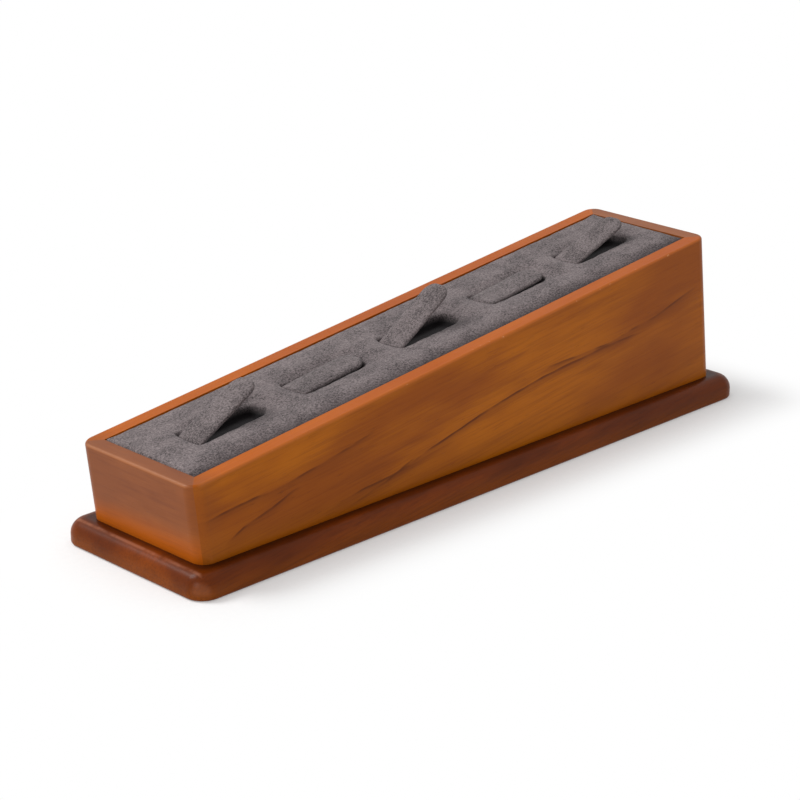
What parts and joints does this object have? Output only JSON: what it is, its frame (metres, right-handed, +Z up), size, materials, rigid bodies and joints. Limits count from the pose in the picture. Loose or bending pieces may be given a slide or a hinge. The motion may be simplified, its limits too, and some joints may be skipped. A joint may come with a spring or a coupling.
{
  "type": "jewelry display stand",
  "caption": "Jewelry display stand: a sloping lacquered wooden box on a dark plinth, with a grey suede pad whose rounded tongues lift to hold pieces.",
  "frame": {"origin": "centre of the bounding box's footprint, on the underside of the plinth", "axes": "+X along the length towards the high end, +Y across the width, +Z up from the table"},
  "size_m": [0.19, 0.05, 0.0501],
  "materials": {
    "body_wood": "satin lacquer over an orange-brown stain",
    "plinth_wood": "satin lacquer over a dark red-brown stain",
    "inner_wood": "raw",
    "backing_board": "raw hardboard",
    "foam": "matte closed-cell foam",
    "suede": "brushed microfibre suede",
    "leaf_metal": "soft annealed strip",
    "screw_steel": "zinc plated"
  },
  "bodies": {
    "stand": {"plinth": "plinth_wood", "low_end_board": "body_wood", "high_end_board": "body_wood", "near_side_board": "body_wood", "far_side_board": "body_wood", "near_rail": "inner_wood", "far_rail": "inner_wood", "low_block": "inner_wood", "high_block": "inner_wood", "screw_1": "screw_steel", "screw_2": "screw_steel", "screw_3": "screw_steel", "screw_4": "screw_steel", "pad_board": "backing_board", "pad_base_sheet": "foam", "pad_foam": "foam", "pad_skin": "suede", "tongue_tab_1": "leaf_metal", "tongue_tab_2": "leaf_metal", "tongue_tab_3": "leaf_metal", "tongue_tab_4": "leaf_metal", "tongue_tab_5": "leaf_metal"},
    "tongue_1": {"tongue_leaf_1": "leaf_metal", "tongue_sleeve_1": "suede"},
    "tongue_2": {"tongue_leaf_2": "leaf_metal", "tongue_sleeve_2": "suede"},
    "tongue_3": {"tongue_leaf_3": "leaf_metal", "tongue_sleeve_3": "suede"},
    "tongue_4": {"tongue_leaf_4": "leaf_metal", "tongue_sleeve_4": "suede"},
    "tongue_5": {"tongue_leaf_5": "leaf_metal", "tongue_sleeve_5": "suede"}
  },
  "joints": [
    {"name": "tongue_hinge_1", "type": "hinge", "parent": "stand", "child": "tongue_1", "pos_m": [-0.07569, 0, 0.02704], "axis": [0, -1, 0], "range_deg": [-23, 32]},
    {"name": "tongue_hinge_2", "type": "hinge", "parent": "stand", "child": "tongue_2", "pos_m": [-0.04369, 0, 0.03076], "axis": [0, -1, 0], "range_deg": [-2, 53]},
    {"name": "tongue_hinge_3", "type": "hinge", "parent": "stand", "child": "tongue_3", "pos_m": [-0.01168, 0, 0.03448], "axis": [0, -1, 0], "range_deg": [-27, 28]},
    {"name": "tongue_hinge_4", "type": "hinge", "parent": "stand", "child": "tongue_4", "pos_m": [0.02032, 0, 0.0382], "axis": [0, -1, 0], "range_deg": [-2.5, 52.5]},
    {"name": "tongue_hinge_5", "type": "hinge", "parent": "stand", "child": "tongue_5", "pos_m": [0.05233, 0, 0.04192], "axis": [0, -1, 0], "range_deg": [-15, 40]}
  ]
}
